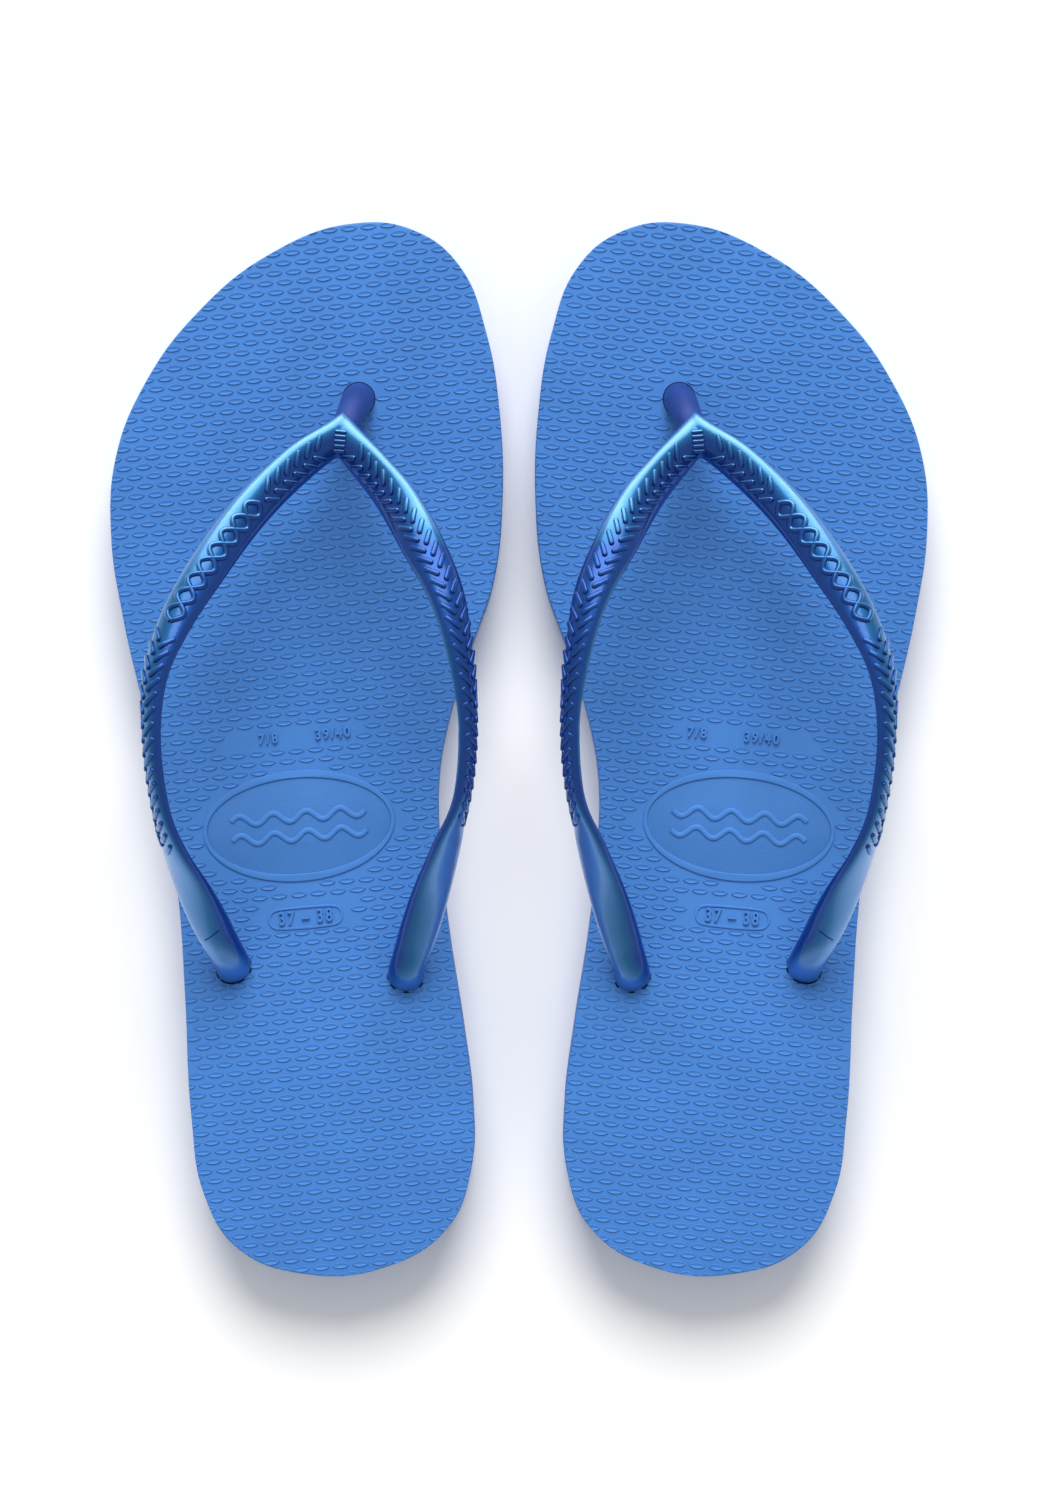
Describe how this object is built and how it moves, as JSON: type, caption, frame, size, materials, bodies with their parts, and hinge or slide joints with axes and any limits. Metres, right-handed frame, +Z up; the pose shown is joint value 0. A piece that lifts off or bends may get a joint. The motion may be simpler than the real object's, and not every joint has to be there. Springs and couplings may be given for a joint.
{
  "type": "flip flop",
  "caption": "Matched left and right flip-flops with a grained two-layer rubber sole and a slim Y-shaped strap that is plugged through it.",
  "frame": {"origin": "on the ground, at the middle of the pair", "axes": "+Y towards the toes, +X towards the right shoe, +Z up"},
  "size_m": [0.201, 0.2588, 0.0652],
  "materials": {
    "footbed": "matt moulded rubber with a raised oval grain",
    "outsole": "matt moulded rubber",
    "strap": "pearl blue, glossy",
    "toe_post": "satin dark blue"
  },
  "bodies": {
    "left_rear": {"left_footbed_rear": "footbed", "left_outsole_rear": "outsole", "left_strap": "strap"},
    "left_forefoot": {"left_footbed_front": "footbed", "left_outsole_front": "outsole", "left_toe_post": "toe_post"},
    "right_rear": {"right_footbed_rear": "footbed", "right_outsole_rear": "outsole", "right_strap": "strap"},
    "right_forefoot": {"right_footbed_front": "footbed", "right_outsole_front": "outsole", "right_toe_post": "toe_post"}
  },
  "joints": [
    {"name": "left_toe_flex", "type": "hinge", "parent": "left_rear", "child": "left_forefoot", "pos_m": [-0.05414, 0.04473, 0.015], "axis": [0.9962, 0.0872, 0], "range_deg": [0, 40], "stiffness_Nm_per_rad": 1, "deforming": ["left_strap"]},
    {"name": "pair_spacing", "type": "slide", "parent": "left_rear", "child": "right_rear", "axis": [1, 0, 0], "range_m": [0, 0.15]},
    {"name": "right_toe_flex", "type": "hinge", "parent": "right_rear", "child": "right_forefoot", "pos_m": [0.05414, 0.04473, 0.015], "axis": [0.9962, -0.0872, 0], "range_deg": [0, 40], "stiffness_Nm_per_rad": 1, "deforming": ["right_strap"]}
  ]
}
